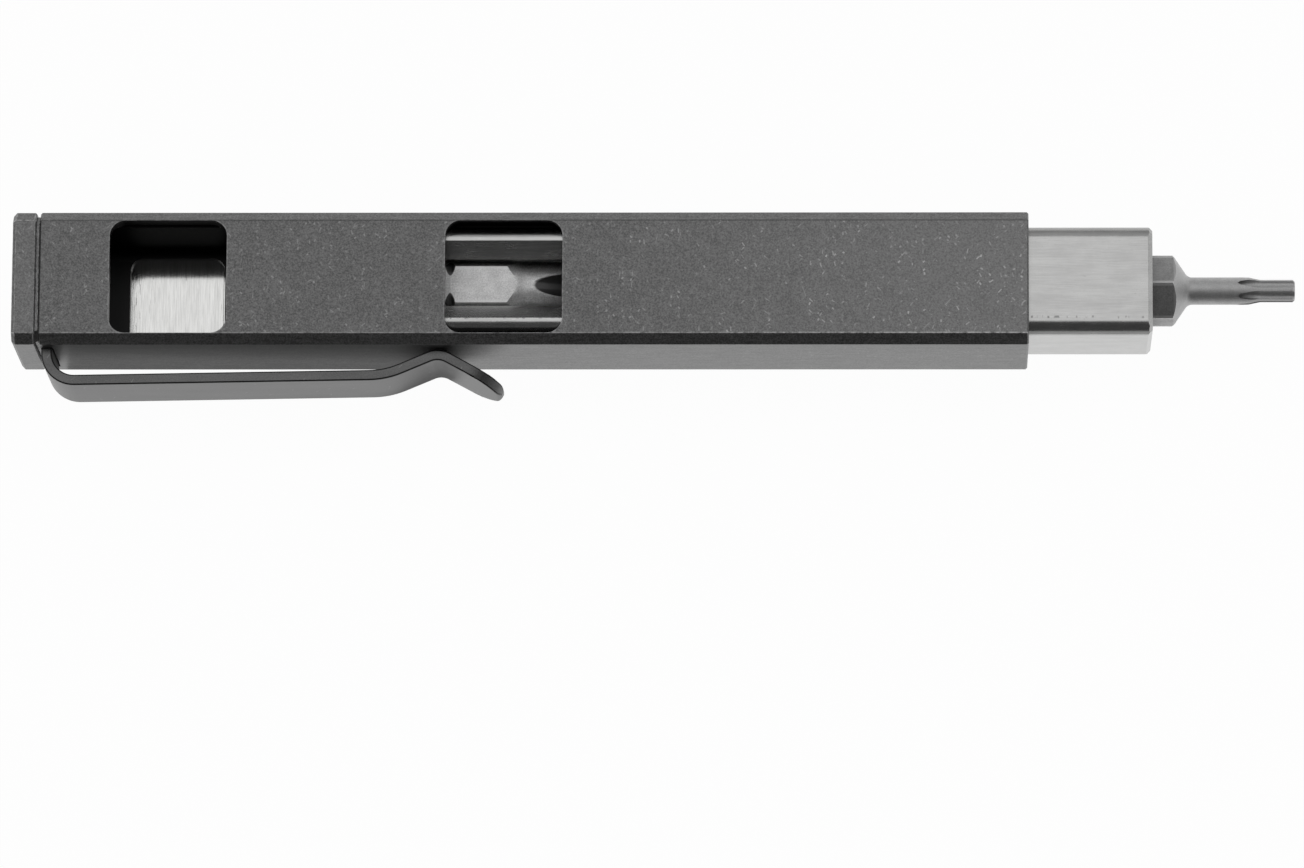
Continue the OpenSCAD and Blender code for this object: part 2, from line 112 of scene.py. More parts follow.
# Share of pure white in the floor where it shows as the background
WHITE_SHARE = 0.97
# Lamp power for each square metre of a softbox of brightness 1
WATTS_PER_AREA = 4.0
SOFTBOX_SIZE = (1.8, 0.44)
SOFTBOX_PLACE = Vector((0.0, 0.25, 0.98))
# Sensor of the camera in millimetres, and how near and how far it sees in metres
SENSOR_WIDTH = 36.0
NEAREST, FARTHEST = 0.01, 20.0
# Points on the edges of the cards, and where the cards end along X
CARD_TOP = Vector((0.0, -0.01, 1.15))
CARD_FOOT = Vector((0.0, -1.1, 0.0))
CARD_NEAR = Vector((0.0, -0.018, 0.0))
CLIP_OUTSIDE = Vector((0.0, -10.4 * MM, -0.01 * MM))
CLIP_INSIDE = Vector((0.0, -6.7 * MM, -0.01 * MM))
CARD_ENDS = (-1.5, 1.5)
CLIP_ENDS = (-47.0 * MM, -9.0 * MM)
# Each card's name, upper or outer edge, lower or near edge, ends and brightness
CARDS = (
    ("dark_card", CARD_TOP, CARD_FOOT, CARD_ENDS, 0.075),
    ("low_card", CARD_FOOT, CARD_NEAR, CARD_ENDS, 0.48),
    # clip_shade is a painted shadow: a glowing grey sheet for the floor's shade between tube and
    # clip
    ("clip_shade", CLIP_OUTSIDE, CLIP_INSIDE, CLIP_ENDS, 0.4),
)


class Value:
    """A node socket that can stand in a Python expression."""

    def __init__(self, finish, socket):
        self.finish = finish
        self.socket = socket

    def maths(self, operation, *terms):
        return self.finish.node("ShaderNodeMath", {"operation": operation}, dict(enumerate(terms)))

    def __add__(self, other):
        return self.maths("ADD", self, other)

    def __radd__(self, other):
        return self.maths("ADD", other, self)

    def __sub__(self, other):
        return self.maths("SUBTRACT", self, other)

    def __rsub__(self, other):
        return self.maths("SUBTRACT", other, self)

    def __mul__(self, other):
        return self.maths("MULTIPLY", self, other)

    def __rmul__(self, other):
        return self.maths("MULTIPLY", other, self)

    def __pow__(self, other):
        return self.maths("POWER", self, other)

    def __abs__(self):
        return self.maths("ABSOLUTE", self)

    def at_least(self, other):
        return self.maths("MAXIMUM", self, other)

    def hypotenuse(self, other):
        """Length of the long side of a right-angled triangle with these two short sides."""
        return (self * self + other * other) ** 0.5

    def step(self, start, end):
        """0 before start and 1 after end, with a smooth rise between; end may be the smaller."""
        low, high = min(start, end), max(start, end)
        rise = self.finish.node(
            "ShaderNodeMapRange",
            {"interpolation_type": "SMOOTHSTEP"},
            {"Value": self, "From Min": low, "From Max": high},
        )
        return rise if start < end else 1 - rise


class Finish:
    """One procedural material, or the world, and the nodes in it."""

    def __init__(self, name, owner=None):
        self.owner = owner or bpy.data.materials.new(name)
        self.owner.use_nodes = True
        self.tree = self.owner.node_tree
        self.tree.nodes.clear()

    def node(self, kind, settings=None, inputs=None, output=0):
        """Adds a node, sets it up, fills or links its inputs and gives one of its outputs."""
        made = self.tree.nodes.new(kind)
        for name, setting in (settings or {}).items():
            setattr(made, name, setting)
        for key, term in (inputs or {}).items():
            if isinstance(term, Value):
                self.tree.links.new(term.socket, made.inputs[key])
            else:
                made.inputs[key].default_value = term
        return Value(self, made.outputs[output]) if made.outputs else None

    def vector(self, operation, *terms, scale=None):
        inputs = dict(enumerate(terms))
        if scale is not None:
            inputs["Scale"] = scale
        gives_number = operation in ("DOT_PRODUCT", "LENGTH")
        return self.node(
            "ShaderNodeVectorMath", {"operation": operation}, inputs, 1 if gives_number else 0
        )

    def place(self):
        """The point on the surface, in millimetres along the tool's axes."""
        metres = self.node("ShaderNodeTexCoord", output="Object")
        return self.vector("SCALE", metres, scale=1 / MM)

    def normal(self):
        return self.node("ShaderNodeTexCoord", output="Normal")

    def axis(self, vector, number):
        """One part of a vector: 0 along X, 1 along Y and 2 along Z."""
        return self.node("ShaderNodeSeparateXYZ", inputs={0: vector}, output=number)

    def noise(self, place, scale, stretch=(1, 1, 1), detail=2.0, roughness=0.5):
        """Noise from 0 to 1: scale lumps to the millimetre, and fewer where stretch is small."""
        place = self.vector("MULTIPLY", place, stretch)
        return self.node(
            "ShaderNodeTexNoise",
            inputs={"Vector": place, "Scale": scale, "Detail": detail, "Roughness": roughness},
        )

    def mix(self, factor, first, second):
        """A colour between two colours. The node's colour sockets are 6, 7 and output 2."""
        return self.node(
            "ShaderNodeMix", {"data_type": "RGBA"}, {0: factor, 6: first, 7: second}, output=2
        )

    def scratches(self, place, cell, length, width, share, seed=0.0):
        """Short straight marks that lie in the surface, one in a share of the cells."""
        scaled = self.vector("ADD", self.vector("SCALE", place, scale=1 / cell), (seed,) * 3)
        cells = {"Vector": scaled, "Scale": 1.0, "Randomness": 1.0}
        centre = self.node("ShaderNodeTexVoronoi", inputs=cells, output="Position")
        chance = self.node("ShaderNodeTexVoronoi", inputs=cells, output="Color")
        normal = self.normal()
        offset = self.vector("SUBTRACT", scaled, centre)
        depth = self.vector("DOT_PRODUCT", offset, normal)
        offset = self.vector("SUBTRACT", offset, self.vector("SCALE", normal, scale=depth))
        heading = self.vector("CROSS_PRODUCT", normal, self.vector("SUBTRACT", chance, (0.5,) * 3))
        heading = self.vector("NORMALIZE", heading)
        along = self.vector("DOT_PRODUCT", offset, heading)
        across = self.vector("SUBTRACT", offset, self.vector("SCALE", heading, scale=along))
        luck = self.axis(chance, 0)
        on_line = self.vector("LENGTH", across).step(width / cell, 0.4 * width / cell)
        in_length = abs(along).step(0.5 * length / cell, 0.4 * length / cell)
        return on_line * in_length * luck.step(share, 0.7 * share)

    def inside_bore(self, place):
        """1 on the walls inside the tube, where painted shade darkens the colour."""
        height = self.axis(place, 2)
        in_tube = (self.axis(place, 0) - TUBE_REAR).step(*SEAM_FADE)
        between = (abs(self.axis(place, 1)) - BORE_HALF).step(*BORE_FADE)
        under_roof = (height - BORE_ROOF).step(*BORE_FADE)
        return in_tube * between * under_roof * height.step(*BACK_FADE)

    def on_face(self, place):
        """1 on the windowed face."""
        return (TUBE_FACE - self.axis(place, 2)).step(*FACE_FADE)

    def face_edge(self, place, side):
        """1 where the face meets its chamfer, on the -Y side for -1 and on the +Y side for 1."""
        to_edge = abs(self.axis(place, 1) * side - FACE_HALF)
        return to_edge.step(*LINE_FADE) * self.on_face(place)

    def window_edges(self, place):
        """1 on the face round both windows."""
        from_middle = abs(abs(self.axis(place, 0) - WINDOWS_MIDDLE) - WINDOW_PITCH / 2)
        beyond = (from_middle - WINDOW_HALF[0] + WINDOW_CORNER).at_least(0)
        aside = (abs(self.axis(place, 1)) - WINDOW_HALF[1] + WINDOW_CORNER).at_least(0)
        outside = beyond.hypotenuse(aside) - WINDOW_CORNER
        return outside.step(*WINDOW_FADE) * self.on_face(place)

    def metal(self, shade, roughness, height=None, depth=0.0):
        """A metal surface of this colour, which height presses in by depth millimetres."""
        inputs = {"Base Color": shade, "Roughness": roughness, "Metallic": 1.0}
        if height is not None:
            press = {"Height": height, "Strength": 1.0, "Distance": depth * MM}
            inputs["Normal"] = self.node("ShaderNodeBump", inputs=press)
        self.show(self.node("ShaderNodeBsdfPrincipled", inputs=inputs))
        return self.owner

    def show(self, shader):
        self.node("ShaderNodeOutputMaterial", inputs={"Surface": shader})

    def shades(self, colour, mask, low, high):
        """The colour made darker or lighter: times low where the mask is 0, times high at 1."""
        return self.mix(mask, times(colour, low), times(colour, high))


def times(colour, factor):
    """The colour made lighter or darker, with its alpha."""
    return (*(min(part * factor, 1.0) for part in colour), 1.0)


def tumbled_metal(name, colour, roughness, wear):
    """Dark metal tumbled with stones: a sandy grain, soft clouds and short pale scratches.

    The scratches and the pale edges grow towards the nose, and painted shade darkens the bore.
    """
    finish = Finish(name)
    place = finish.place()
    along = finish.axis(place, 0)
    towards_nose = along.step(*WEAR_ALONG)
    near_nose = along.step(TUBE_NOSE - WORN_NOSE, TUBE_NOSE)
    on_cap = (TUBE_REAR - along).step(*SEAM_FADE)
    upward = 0.3 + 0.7 * finish.axis(finish.normal(), 2).step(0.8, 0.95)

    grain = finish.noise(place, 5.6, detail=2.0, roughness=0.8)
    clouds = finish.noise(place, 0.3, detail=3.0, roughness=0.6)
    patches = finish.noise(place, 1.4, detail=2.0)
    lines = finish.noise(place, 4.0, stretch=(0.1, 1, 1), detail=2.0)
    tone = grain * 0.8 + patches * 0.1 + clouds * 0.1 + (lines - 0.5) * (1 - upward) * 0.35
    paler = (towards_nose * 0.38 + on_cap * 0.28) * upward - on_cap * 0.08
    shade = finish.shades(colour, tone.step(0.32, 0.7) + paler, low=0.6, high=1.36)

    worn = clouds.step(0.38, 0.62) * (0.3 + 0.7 * towards_nose)
    clusters = finish.noise(place, 0.62, detail=3.0, roughness=0.6).step(0.36, 0.56)
    long_marks = finish.scratches(place, cell=2.4, length=1.1, width=0.07, share=0.26)
    short_marks = finish.scratches(place, cell=1.1, length=0.5, width=0.08, share=0.4, seed=7.3)
    ticks = finish.scratches(place, cell=0.8, length=0.3, width=0.11, share=0.34, seed=3.1)
    marks = (long_marks * 0.5).at_least(short_marks * 0.8).at_least(ticks * clusters)
    marks = marks * (0.2 + 0.8 * worn) * upward * (0.35 + 0.65 * clusters)
    specks = finish.noise(place, 4.2, detail=3.0, roughness=0.75).step(0.6, 0.7)
    specks = specks * (0.1 + 0.5 * worn + 0.25 * near_nose) * upward
    chips = finish.noise(place, 2.4, detail=3.0, roughness=0.65).step(0.36, 0.6)
    edges = finish.face_edge(place, -1).at_least(finish.window_edges(place))
    rubbed = edges * chips * (0.25 + 0.4 * towards_nose)

    pale = (marks * wear).at_least(specks * wear).at_least(rubbed)
    shade = finish.mix(pale, shade, times(colour, 3.6))
    # Painted shade: a dark line along the face's edge on the +Y side
    shade = finish.mix(finish.face_edge(place, 1) * 0.5, shade, times(colour, 0.3))
    # Painted shade darkens the walls inside the bore
    shade = finish.mix(finish.inside_bore(place), shade, times(colour, HOLLOW_SHADE))
    rough = roughness + 0.14 * (grain - 0.5) - 0.05 * pale
    return finish.metal(shade, rough, grain * 0.7 - marks * 0.8, depth=0.006)


def worn_edge(name, colour, roughness):
    """The thin line along an edge, where the tumbling has taken the dark skin off."""
    finish = Finish(name)
    place = finish.place()
    chips = finish.noise(place, 2.4, detail=3.0, roughness=0.65).step(0.36, 0.66)
    shade = finish.shades(colour, chips, low=1.5, high=3.4)
    # Painted shade darkens the edges inside the bore
    shade = finish.mix(finish.inside_bore(place), shade, times(colour, 0.2))
    return finish.metal(shade, roughness + 0.2 - 0.08 * chips)


def clip_edge(name, colour, roughness):
    """The rounded edges of the strip, made darker than its sides with painted shade."""
    finish = Finish(name)
    grain = finish.noise(finish.place(), 5.0, detail=3.0)
    return finish.metal(finish.shades(colour, grain, low=0.2, high=0.5), roughness + 0.1 * grain)


def clip_metal(name, colour, roughness):
    """Spring strip: fine blasted grain, a few rubbed marks along it, painted shade on its outer
    side.
    """
    finish = Finish(name)
    place = finish.place()
    grain = finish.noise(place, 8.0, detail=3.0, roughness=0.7)
    rub = finish.noise(place, 0.5, stretch=(0.25, 1, 1), detail=3.0)
    marks = finish.scratches(place, cell=1.2, length=0.5, width=0.07, share=0.16, seed=2.0)
    # Painted shade: the strip's side facing -Y, away from the tube, is darkened towards black
    outside = finish.axis(finish.normal(), 1).step(-0.4, -0.8)
    shade = finish.shades(colour, (grain * 0.7 + rub * 0.3).step(0.3, 0.72), low=0.74, high=1.26)
    shade = finish.mix(outside * 0.32, shade, BLACK)
    shade = finish.mix(marks * 0.4, shade, times(colour, 2.2))
    return finish.metal(shade, roughness + 0.1 * (grain - 0.5), grain - marks, depth=0.005)


def milled_steel(name, colour, roughness):
    """Bright bar: fine lines along it, soft smudges and a row of tiny pits by one edge."""
    finish = Finish(name)
    place = finish.place()
    y = finish.axis(place, 1)
    lines = finish.noise(place, 7.0, stretch=(0.06, 1, 1), detail=3.0, roughness=0.6)
    broad = finish.noise(place, 1.1, stretch=(0.12, 1, 1), detail=2.0)
    smudges = finish.noise(place, 0.35, stretch=(1, 1.4, 1), detail=3.0, roughness=0.6)
    specks = finish.noise(place, 5.0, detail=2.0).step(0.68, 0.78)
    waver = finish.noise(place, 0.9, stretch=(1, 0.1, 0.1)) * 0.3
    row = abs(y + BORE_HALF - PIT_ROW_SET + waver).step(PIT_ROW_HALF, 0.05)
    pits = finish.noise(place, 3.2, stretch=(1, 0.2, 0.2), detail=3.0).step(0.52, 0.64) * row
    tone = lines * 0.45 + broad * 0.25 + smudges * 0.4
    shade = finish.shades(colour, tone.step(0.35, 0.8), low=0.82, high=1.12)
    dark = (specks * 0.25).at_least(pits * 0.7)
    shade = finish.mix(dark, shade, times(colour, 0.3))
    away_from_clip = finish.axis(finish.normal(), 1).step(0.3, 0.5)
    # Painted light: the slot's side that faces +Y, on the clip's half of the bar, is brightened
    slot_side_light = away_from_clip * y.step(-1, -1.5) * finish.axis(place, 2).step(*SLOT_FADE)
    shade = finish.mix(slot_side_light * 0.7, shade, BRIGHT)
    # Painted shade: surfaces facing +Y on the bar's +Y half are darkened
    far_chamfer_shade = away_from_clip * y.step(1, 1.5)
    shade = finish.mix(far_chamfer_shade * 0.2, shade, BLACK)
    rough = roughness + 0.14 * (lines - 0.5) + 0.1 * (smudges - 0.5)
    return finish.metal(shade, rough, lines, depth=0.003)


def bit_steel(name, colour, roughness, rear, brighter_from=None, flutes=None):
    """Hardened bit steel with a painted highlight along the hexagon's corners and painted shade in
    the notch.

    The bit's rear end lies at rear, it is brighter from brighter_from on, and flutes are the start
    and the end of a cross tip's flutes, which painted shade darkens.
    """
    finish = Finish(name)
    place = finish.place()
    along = finish.axis(place, 0)
    from_axis = finish.vector("SUBTRACT", place, (0, 0, AXIS_HEIGHT))
    radius = finish.vector("LENGTH", finish.vector("MULTIPLY", from_axis, (0, 1, 1)))

    grain = finish.noise(place, 6.5, detail=3.0, roughness=0.7)
    stain = finish.noise(place, 0.9, detail=3.0)
    shade = finish.shades(colour, (grain * 0.7 + stain * 0.3).step(0.36, 0.66), low=0.8, high=1.2)
    # Painted highlight along the hexagon's corners
    bright = (radius - HEX_CORNER).step(0, CORNER_FADE) * 0.5
    if brighter_from is not None:
        bright = bright.at_least(along.step(brighter_from, brighter_from + BIT_FADE) * 0.28)
    shade = finish.mix(bright, shade, BRIGHT)

    # Painted shade in the notch and the flutes
    from_notch = (along - rear - NOTCH_SET).hypotenuse(radius - NOTCH_MIDDLE)
    dark = (from_notch - NOTCH_RADIUS).step(*NOTCH_FADE)
    if flutes is not None:
        start, end = flutes
        between = along.step(start, start + BIT_FADE) * along.step(end, end - BIT_FADE)
        dark = dark.at_least((FLUTE_EDGE - radius).step(0, FLUTE_FADE) * between)
    shade = finish.mix(dark, shade, times(colour, HOLLOW_SHADE))
    return finish.metal(shade, roughness + 0.16 * (grain - 0.5), grain, depth=0.004)


def brushed_plate(name, colour, roughness):
    """Plate brushed across the tool, with a few deeper strokes."""
    finish = Finish(name)
    place = finish.place()
    strokes = finish.noise(place, 9.0, stretch=(1, 0.05, 1), detail=3.0, roughness=0.65)
    broad = finish.noise(place, 1.2, stretch=(1, 0.08, 1), detail=2.0)
    deep = finish.noise(place, 6.0, stretch=(1, 0.08, 1), detail=2.0).step(0.62, 0.72)
    tone = (strokes * 0.75 + broad * 0.25).step(0.25, 0.75)
    shade = finish.shades(colour, tone - deep * 0.3, low=0.78, high=1.08)
    return finish.metal(shade, roughness + 0.1 * (strokes - 0.5), strokes - deep * 0.6, depth=0.003)


def machined_steel(name, colour, roughness):
    """Plain turned or milled steel of the pieces inside."""
    finish = Finish(name)
    place = finish.place()
    lines = finish.noise(place, 6.0, stretch=(1, 0.1, 0.1), detail=3.0)
    stain = finish.noise(place, 0.7, detail=3.0)
    shade = finish.shades(colour, (lines * 0.5 + stain * 0.5).step(0.35, 0.68), low=0.75, high=1.15)
    return finish.metal(shade, roughness + 0.12 * (lines - 0.5), lines, depth=0.004)


def plated_magnet(name, colour, roughness):
    """Bright nickel plating with a faint ripple."""
    finish = Finish(name)
    place = finish.place()
    ripple = finish.noise(place, 1.2, detail=2.0)
    shade = finish.shades(colour, ripple, low=0.85, high=1.08)
    return finish.metal(shade, roughness + 0.06 * ripple, ripple, depth=0.004)


def black_screw(name, colour, roughness):
    """Blackened screw with a fine grain and rubbed spots."""
    finish = Finish(name)
    place = finish.place()
    grain = finish.noise(place, 7.0, detail=3.0, roughness=0.65)
    rubbed = finish.noise(place, 1.8, detail=3.0).step(0.56, 0.7)
    shade = finish.shades(colour, (grain * 0.7 + rubbed * 0.5).step(0.3, 0.9), low=0.7, high=2.0)
    return finish.metal(shade, roughness + 0.1 * (grain - 0.5), grain, depth=0.004)


def bit_ends(node):
    """Where a bit's rear end and its tip lie, in millimetres."""
    low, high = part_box(node)
    return low.x / MM, high.x / MM


def dress(node, finish, edge=None, edge_width=PLAIN_EDGE, clamp=True):
    """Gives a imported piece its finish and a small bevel, which shows the edge finish if any."""
    piece = NODES[node]
    piece.data.materials.clear()
    piece.data.materials.append(finish)
    if edge is not None:
        piece.data.materials.append(edge)
    fixed_normals = piece.data.attributes.get("custom_normal")
    if fixed_normals is not None:
        piece.data.attributes.remove(fixed_normals)
    piece.data.polygons.foreach_set("use_smooth", [True] * len(piece.data.polygons))
    weld = piece.modifiers.new("Join facets", "WELD")
    weld.merge_threshold = WELD_GAP
    bevel = piece.modifiers.new("Soft edges", "BEVEL")
    bevel.width = edge_width * MM
    bevel.segments = 2
    bevel.limit_method = "ANGLE"
    bevel.angle_limit = EDGE_ANGLE
    bevel.use_clamp_overlap = clamp
    bevel.harden_normals = True
    bevel.material = 1 if edge is not None else 0
    return piece


def colour_property(name, description, shade):
    return bpy.props.FloatVectorProperty(
        name=name, description=description, default=shade, subtype="COLOR", min=0.0, max=1.0
    )


def roughness_property(name, description, default):
    return bpy.props.FloatProperty(
        name=name, description=description, default=default, subtype="FACTOR", min=0.0, max=1.0
    )


class ScrewdriverFinishes(bpy.types.PropertyGroup):
    """Colours and surface values of the metals."""

    tube_colour: colour_property("Tube", "Metal of the tube and the cap", (0.161, 0.161, 0.161))
    tube_roughness: roughness_property("Tube roughness", "Roughness of the tumbled metal", 0.4)
    tube_wear: roughness_property("Tube wear", "Strength of the pale scratches", 0.75)
    clip_colour: colour_property("Clip", "Metal of the spring clip", (0.136, 0.136, 0.136))
    clip_roughness: roughness_property("Clip roughness", "Roughness of the clip", 0.36)
    bar_colour: colour_property("Bar", "Milled steel of the bar", (0.48, 0.48, 0.475))
    bar_roughness: roughness_property("Bar roughness", "Roughness of the bar", 0.24)
    nose_bit_colour: colour_property("Nose bit", "Steel of the bit in the nose", (0.41, 0.41, 0.41))
    spare_bit_colour: colour_property("Spare bits", "Steel of the bits in the bar", (0.8, 0.8, 0.8))
    bit_roughness: roughness_property("Bit roughness", "Roughness of the bits", 0.56)
    plate_colour: colour_property("Back plate", "Plate under the window", (0.645, 0.645, 0.635))
    plate_roughness: roughness_property("Plate roughness", "Roughness of the plate", 0.08)
    inner_colour: colour_property("Inner steel", "Blocks and dowel inside", (0.36, 0.36, 0.36))
    inner_roughness: roughness_property("Inner roughness", "Roughness of the blocks", 0.36)
    magnet_colour: colour_property("Magnets", "Nickel plating", (0.62, 0.61, 0.58))
    magnet_roughness: roughness_property("Magnet roughness", "Roughness of the plating", 0.16)
    screw_colour: colour_property("Screws", "Blackened steel", (0.05, 0.05, 0.052))
    screw_roughness: roughness_property("Screw roughness", "Roughness of the screws", 0.38)
    edge_width: bpy.props.FloatProperty(
        name="Edge width",
        description="Width of the worn line along the edges",
        default=0.06 * MM,
        min=0.01 * MM,
        max=0.3 * MM,
        unit="LENGTH",
        precision=5,
    )
    clip_edge_width: bpy.props.FloatProperty(
        name="Clip edge width",
        description="Width of the rounding along the clip's edges",
        default=0.14 * MM,
        min=0.01 * MM,
        max=0.3 * MM,
        unit="LENGTH",
        precision=5,
    )


class ScrewdriverStudio(bpy.types.PropertyGroup):
    """Camera, floor and lamps."""

    lens: bpy.props.FloatProperty(
        name="Lens",
        description="Focal length of the camera on a 36 mm sensor",
        default=244.6,
        min=20.0,
        max=400.0,
        unit="CAMERA",
    )
    distance: bpy.props.FloatProperty(
        name="Distance",
        description="From the camera to the tube's front face",
        default=0.871,
        min=0.3,
        max=3.0,
        unit="LENGTH",
    )
    tilt: bpy.props.FloatProperty(
        name="Tilt",
        description="Angle of the camera away from straight down",
        default=math.radians(13),
        min=0.0,
        max=math.radians(80),
        unit="ROTATION",
    )
    stand: bpy.props.FloatVectorProperty(
        name="Camera over",
        description="Point on the front face that the camera's axis is set from",
        default=(35.85 * MM, 0.0, TUBE_HIGH.z),
        subtype="TRANSLATION",
        unit="LENGTH",
    )
    aim: bpy.props.FloatVectorProperty(
        name="Aim",
        description="Point that lies in the middle of the picture",
        default=(11.8 * MM, -15.86 * MM, TUBE_HIGH.z),
        subtype="TRANSLATION",
        unit="LENGTH",
    )
    light: bpy.props.FloatProperty(
        name="Light",
        description="Brightness of the softbox, 1 being white",
        default=0.5,
        min=0.0,
        max=4.0,
    )
    fill: bpy.props.FloatProperty(
        name="Fill",
        description="Brightness of the room round it",
        default=0.5,
        min=0.0,
        max=2.0,
    )


class Step:
    """What the operators share."""

    bl_options = {"REGISTER", "UNDO"}


class SCREWDRIVER_OT_handle(Step, bpy.types.Operator):
    """Finish the square tube and its end cap."""

    bl_idname = "screwdriver.handle"
    bl_label = "Handle"

    def execute(self, context):
        look = context.scene.screwdriver_finishes
        colour, rough = look.tube_colour, look.tube_roughness
        tumbled = tumbled_metal("tumbled_metal", colour, rough, look.tube_wear)
        edge = worn_edge("worn_edge", colour, rough)
        dress("body_tube", tumbled, edge, look.edge_width / MM)
        dress("end_cap", tumbled, edge, look.edge_width / MM, clamp=False)
        return {"FINISHED"}


class SCREWDRIVER_OT_clip(Step, bpy.types.Operator):
    """Finish the spring clip."""

    bl_idname = "screwdriver.clip"
    bl_label = "Pocket clip"

    def execute(self, context):
        look = context.scene.screwdriver_finishes
        strip = clip_metal("clip_metal", look.clip_colour, look.clip_roughness)
        edge = clip_edge("clip_edge", look.clip_colour, look.clip_roughness)
        dress("pocket_clip", strip, edge, look.clip_edge_width / MM, clamp=False)
        return {"FINISHED"}


class SCREWDRIVER_OT_backplate(Step, bpy.types.Operator):
    """Finish the brushed plate behind the rear window."""

    bl_idname = "screwdriver.backplate"
    bl_label = "Back plate"

    def execute(self, context):
        look = context.scene.screwdriver_finishes
        steel = brushed_plate("brushed_plate", look.plate_colour, look.plate_roughness)
        dress("window_backplate", steel)
        return {"FINISHED"}


class SCREWDRIVER_OT_bar(Step, bpy.types.Operator):
    """Finish the sliding bar."""

    bl_idname = "screwdriver.bar"
    bl_label = "Inner bar"

    def execute(self, context):
        look = context.scene.screwdriver_finishes
        dress("inner_bar", milled_steel("milled_steel", look.bar_colour, look.bar_roughness))
        return {"FINISHED"}


class SCREWDRIVER_OT_bits(Step, bpy.types.Operator):
    """Finish the bit in the nose and the spare bits."""

    bl_idname = "screwdriver.bits"
    bl_label = "Bits"

    def execute(self, context):
        look = context.scene.screwdriver_finishes
        spare, rough = look.spare_bit_colour, look.bit_roughness
        rear, _ = bit_ends("star_bit")
        steel = bit_steel("star_bit_steel", look.nose_bit_colour, rough, rear, rear + NOSE_HEX)
        dress("star_bit", steel, edge_width=SMALL_EDGE)
        rear, tip = bit_ends("cross_bit")
        flutes = (rear + FLUTE_SET, tip - FLUTE_STOP)
        steel = bit_steel("cross_bit_steel", spare, rough, rear, flutes=flutes)
        dress("cross_bit", steel, edge_width=FINE_EDGE)
        rear, _ = bit_ends("flat_bit")
        dress("flat_bit", bit_steel("flat_bit_steel", spare, rough, rear), edge_width=FINE_EDGE)
        return {"FINISHED"}


class SCREWDRIVER_OT_fittings(Step, bpy.types.Operator):
    """Finish the blocks, dowel, magnets and screws."""

    bl_idname = "screwdriver.fittings"
    bl_label = "Fittings"

    def execute(self, context):
        look = context.scene.screwdriver_finishes
        steel = machined_steel("machined_steel", look.inner_colour, look.inner_roughness)
        plating = plated_magnet("magnet_plating", look.magnet_colour, look.magnet_roughness)
        black = black_screw("black_screw", look.screw_colour, look.screw_roughness)
        for finish, nodes in (
            (steel, ("end_plug", "stop_block", "cap_dowel")),
            (plating, ("stop_magnets", "socket_magnet", "storage_magnet")),
            (black, ("cap_screw", "plug_screws", "stop_screws")),
        ):
            for node in nodes:
                dress(node, finish, edge_width=SMALL_EDGE)
        return {"FINISHED"}


class SCREWDRIVER_OT_studio(Step, bpy.types.Operator):
    """Lay the floor, hang the lamps and set up the camera."""

    bl_idname = "screwdriver.studio"
    bl_label = "Studio"

    def execute(self, context):
        studio = context.scene.screwdriver_studio
        context.scene.view_settings.view_transform = "Standard"
        self.lay_floor()
        self.hang_softbox(context, studio.light)
        for card in CARDS:
            self.hang_card(*card)
        self.light_room(context, studio.fill)
        self.set_camera(context, studio)
        return {"FINISHED"}

    def lay_floor(self):
        floor = flat_sheet("floor", FLOOR_SIZE)
        floor.location = (0.0, 0.0, FLOOR_Z)
        finish = Finish("white_floor")
        place = finish.place()
        tone = finish.mix(finish.noise(place, 0.004, detail=2.0), *FLOOR_SHADES)
        paint = finish.node("ShaderNodeBsdfDiffuse", inputs={"Color": tone})
        white = finish.node("ShaderNodeEmission", inputs={"Color": WHITE, "Strength": 1.0})
        share = background_rays(finish) * WHITE_SHARE
        finish.show(finish.node("ShaderNodeMixShader", inputs={0: share, 1: paint, 2: white}))
        floor.data.materials.append(finish.owner)

    def hang_softbox(self, context, light):
        lamp = bpy.data.lights.new("softbox", "AREA")
        lamp.shape = "RECTANGLE"
        lamp.size, lamp.size_y = SOFTBOX_SIZE
        lamp.energy = WATTS_PER_AREA * light * lamp.size * lamp.size_y
        softbox = bpy.data.objects.new("softbox", lamp)
        softbox.location = SOFTBOX_PLACE
        softbox.rotation_euler = (-SOFTBOX_PLACE).to_track_quat("-Z", "Y").to_euler()
        context.scene.collection.objects.link(softbox)

    def hang_card(self, name, top, foot, ends, shade):
        """A card on the clip's side of the tool that only reflections show."""
        run = top - foot
        left, right = ends
        card = flat_sheet(name, (right - left, run.length))
        card.location = (top + foot) / 2
        card.location.x = (left + right) / 2
        card.rotation_euler = (math.atan2(run.z, run.y), 0.0, 0.0)
        card.visible_camera = False
        card.visible_shadow = False
        card.visible_diffuse = False
        finish = Finish(name)
        finish.show(finish.node("ShaderNodeEmission", inputs={"Color": WHITE, "Strength": shade}))
        card.data.materials.append(finish.owner)

    def light_room(self, context, fill):
        world = bpy.data.worlds.new("room")
        context.scene.world = world
        room = Finish("room", world)
        sky = room.node("ShaderNodeBackground", inputs={"Color": WHITE, "Strength": fill})
        room.node("ShaderNodeOutputWorld", inputs={"Surface": sky})

    def set_camera(self, context, studio):
        camera = bpy.data.objects.new("camera", bpy.data.cameras.new("camera"))
        camera.data.lens = studio.lens
        camera.data.sensor_width = SENSOR_WIDTH
        camera.data.clip_start = NEAREST
        camera.data.clip_end = FARTHEST
        back = Vector((0.0, -math.sin(studio.tilt), math.cos(studio.tilt)))
        place = Vector(studio.stand) + back * studio.distance
        ahead = (Vector(studio.aim) - place).normalized()
        right = (Vector((1, 0, 0)) - ahead * ahead.x).normalized()
        turn = Matrix((right, right.cross(ahead), -ahead)).transposed()
        camera.matrix_world = Matrix.Translation(place) @ turn.to_4x4()
        context.scene.collection.objects.link(camera)
        context.scene.camera = camera


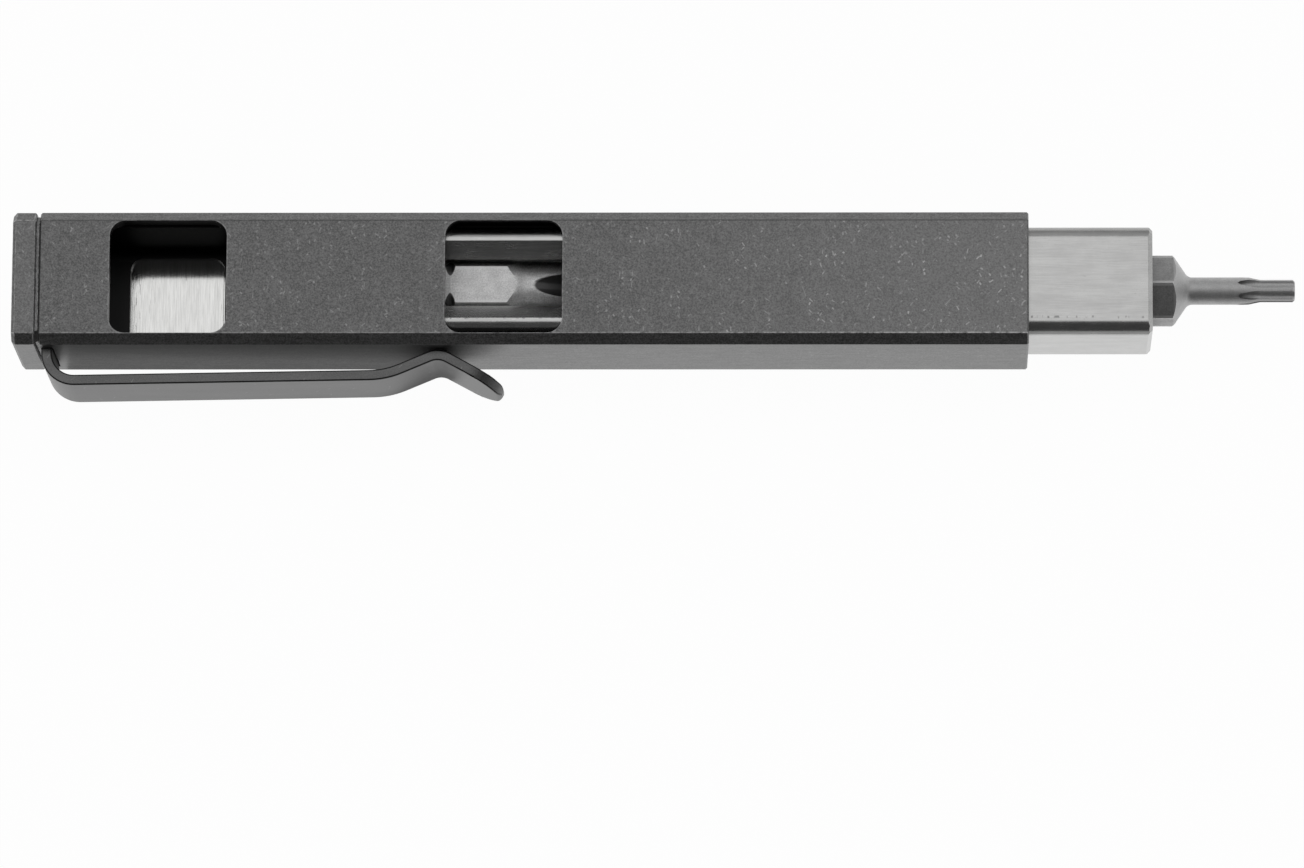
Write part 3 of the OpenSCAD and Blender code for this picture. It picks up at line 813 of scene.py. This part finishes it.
def background_rays(finish):
    """1 for rays that show the background: seen straight, in a reflection or through glass."""
    straight = finish.node("ShaderNodeLightPath", output="Is Camera Ray")
    mirrored = finish.node("ShaderNodeLightPath", output="Is Glossy Ray")
    through = finish.node("ShaderNodeLightPath", output="Is Transmission Ray")
    return straight.at_least(mirrored).at_least(through)


def flat_sheet(name, size):
    """A rectangle round its own origin."""
    signs = ((-1, -1), (1, -1), (1, 1), (-1, 1))
    corners = [(x * size[0] / 2, y * size[1] / 2, 0) for x, y in signs]
    mesh = bpy.data.meshes.new(name)
    mesh.from_pydata(corners, [], [(0, 1, 2, 3)])
    sheet = bpy.data.objects.new(name, mesh)
    bpy.context.scene.collection.objects.link(sheet)
    return sheet


STEPS = (
    SCREWDRIVER_OT_handle,
    SCREWDRIVER_OT_clip,
    SCREWDRIVER_OT_backplate,
    SCREWDRIVER_OT_bar,
    SCREWDRIVER_OT_bits,
    SCREWDRIVER_OT_fittings,
    SCREWDRIVER_OT_studio,
)


class SCREWDRIVER_PT_panel(bpy.types.Panel):
    """Lists the steps and the values that they use."""

    bl_idname = "SCREWDRIVER_PT_panel"
    bl_label = "Pocket screwdriver"
    bl_space_type = "VIEW_3D"
    bl_region_type = "UI"
    bl_category = "Screwdriver"

    def draw(self, context):
        for step in STEPS:
            self.layout.operator(step.bl_idname)
        for group in (context.scene.screwdriver_finishes, context.scene.screwdriver_studio):
            box = self.layout.box()
            for name in group.bl_rna.properties.keys():
                if name not in ("rna_type", "name"):
                    box.prop(group, name)


CLASSES = (ScrewdriverFinishes, ScrewdriverStudio, *STEPS, SCREWDRIVER_PT_panel)


def register():
    for made in CLASSES:
        bpy.utils.register_class(made)
    bpy.types.Scene.screwdriver_finishes = bpy.props.PointerProperty(type=ScrewdriverFinishes)
    bpy.types.Scene.screwdriver_studio = bpy.props.PointerProperty(type=ScrewdriverStudio)


def unregister():
    del bpy.types.Scene.screwdriver_studio
    del bpy.types.Scene.screwdriver_finishes
    for made in reversed(CLASSES):
        bpy.utils.unregister_class(made)


def main():
    register()
    bpy.ops.screwdriver.handle()
    bpy.ops.screwdriver.clip()
    bpy.ops.screwdriver.backplate()
    bpy.ops.screwdriver.bar()
    bpy.ops.screwdriver.bits()
    bpy.ops.screwdriver.fittings()
    bpy.ops.screwdriver.studio()
    bpy.context.view_layer.update()


if __name__ == "__main__":
    main()
